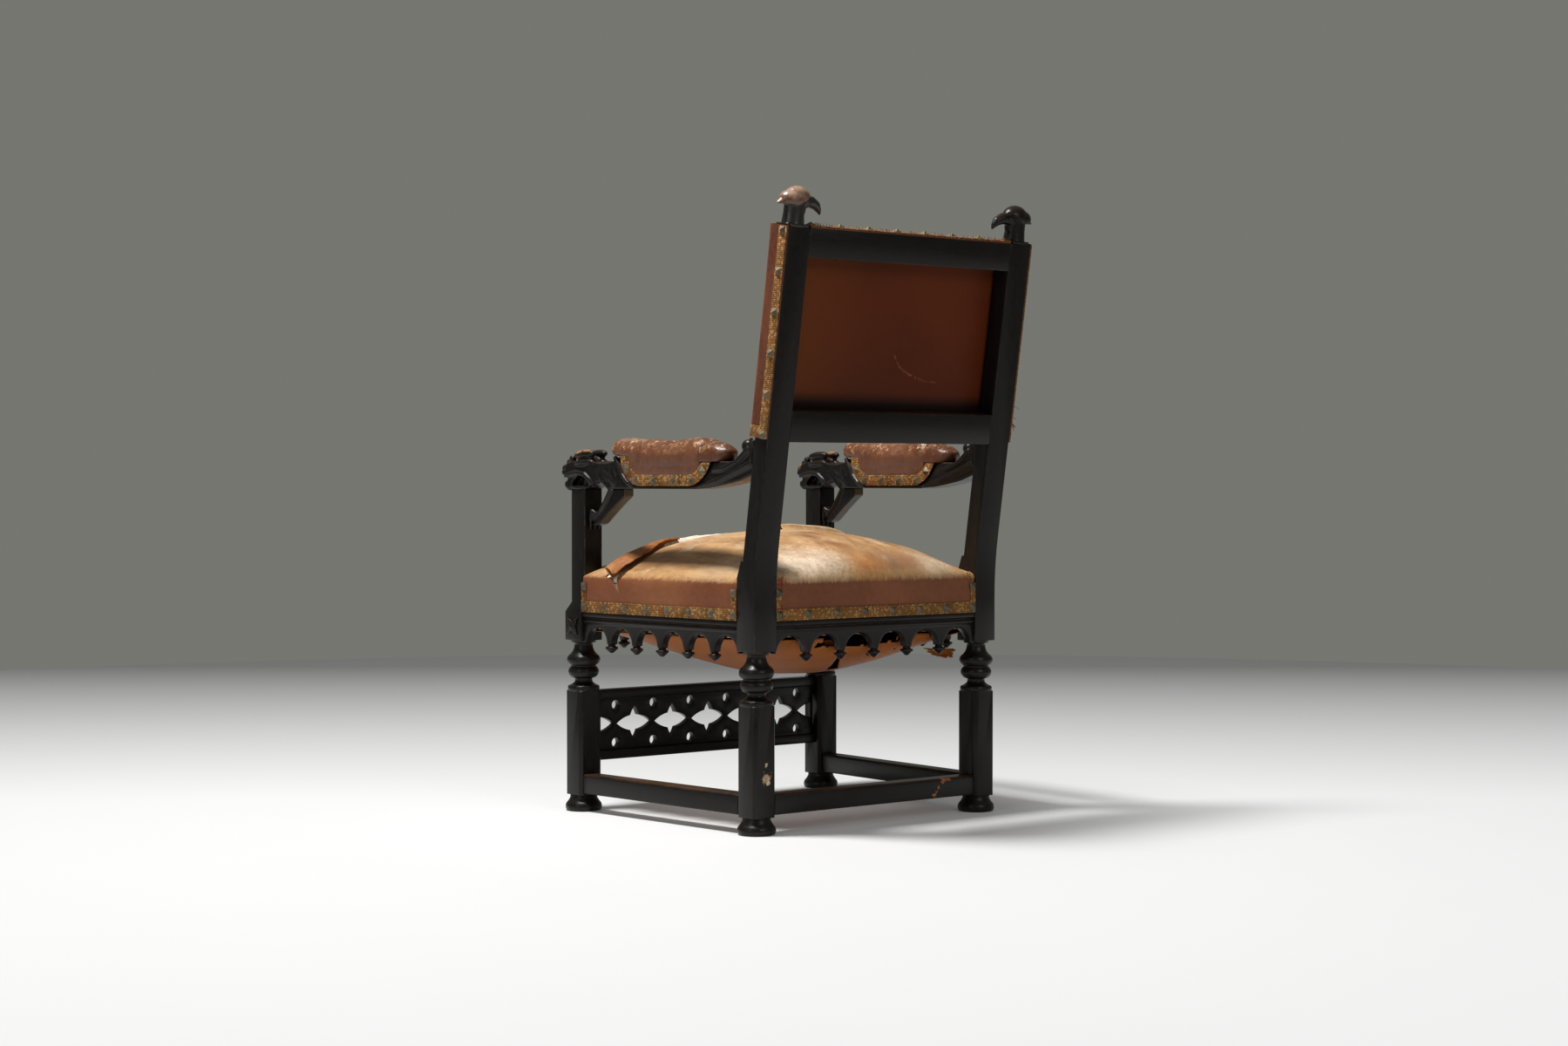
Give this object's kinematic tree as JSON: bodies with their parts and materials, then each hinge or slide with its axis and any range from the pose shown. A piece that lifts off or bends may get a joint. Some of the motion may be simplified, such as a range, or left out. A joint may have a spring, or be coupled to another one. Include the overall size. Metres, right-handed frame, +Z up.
{
  "type": "gothic throne chair",
  "caption": "Upright open armchair in ebonised carved wood, with leather seat, back and arm pads, braid and nails, beast-head arms, arcaded aprons and a pierced front panel.",
  "frame": {"origin": "on the floor, under the middle of the chair's bounding box", "axes": "+Z up; the sitter faces -Y; +X to the sitter's left"},
  "size_m": [0.659, 0.6498, 1.1303],
  "materials": {
    "dark_wood": "satin, worn",
    "raw_wood": "unfinished",
    "red_leather": "semi-gloss, cracked",
    "seat_leather": "worn, semi-gloss",
    "cover_leather": "matte, worn",
    "braid": "woven, faded",
    "nail_brass": "aged",
    "jute": "coarse woven",
    "stuffing": "fibrous",
    "spring_wire": "dull"
  },
  "bodies": {
    "root": {"apron_drops_front": "dark_wood", "apron_drops_left": "dark_wood", "apron_drops_rear": "dark_wood", "apron_drops_right": "dark_wood", "apron_front": "dark_wood", "apron_left": "dark_wood", "apron_rear": "dark_wood", "apron_right": "dark_wood", "arm_bracket_left": "dark_wood", "arm_bracket_right": "dark_wood", "arm_braid_left": "braid", "arm_braid_right": "braid", "arm_leather_left": "red_leather", "arm_leather_right": "red_leather", "arm_left": "dark_wood", "arm_nails_left": "nail_brass", "arm_nails_right": "nail_brass", "arm_right": "dark_wood", "arm_stuffing_left": "stuffing", "arm_stuffing_right": "stuffing", "back_braid": "braid", "back_hessian": "jute", "back_leather": "red_leather", "back_lower_rail": "dark_wood", "back_nails": "nail_brass", "back_outer_leather": "red_leather", "back_stuffing": "stuffing", "back_top_rail": "dark_wood", "back_webbing": "jute", "corner_blocks": "raw_wood", "finial_left": "dark_wood", "finial_right": "dark_wood", "foot_front_left": "dark_wood", "foot_front_right": "dark_wood", "foot_rear_left": "dark_wood", "foot_rear_right": "dark_wood", "front_leg_left": "dark_wood", "front_leg_right": "dark_wood", "front_panel_bottom_rail": "dark_wood", "front_panel_top_rail": "dark_wood", "front_tracery_panel": "dark_wood", "leg_rosettes": "dark_wood", "rear_leg_left": "dark_wood", "rear_leg_right": "dark_wood", "seat_bottom_cover": "cover_leather", "seat_braid": "braid", "seat_hessian": "jute", "seat_leather": "seat_leather", "seat_nails": "nail_brass", "seat_rail_front": "raw_wood", "seat_rail_left": "raw_wood", "seat_rail_rear": "raw_wood", "seat_rail_right": "raw_wood", "seat_springs": "spring_wire", "seat_stuffing": "stuffing", "seat_webbing": "jute", "stretcher_left": "dark_wood", "stretcher_rear": "dark_wood", "stretcher_right": "dark_wood"}
  },
  "joints": []
}
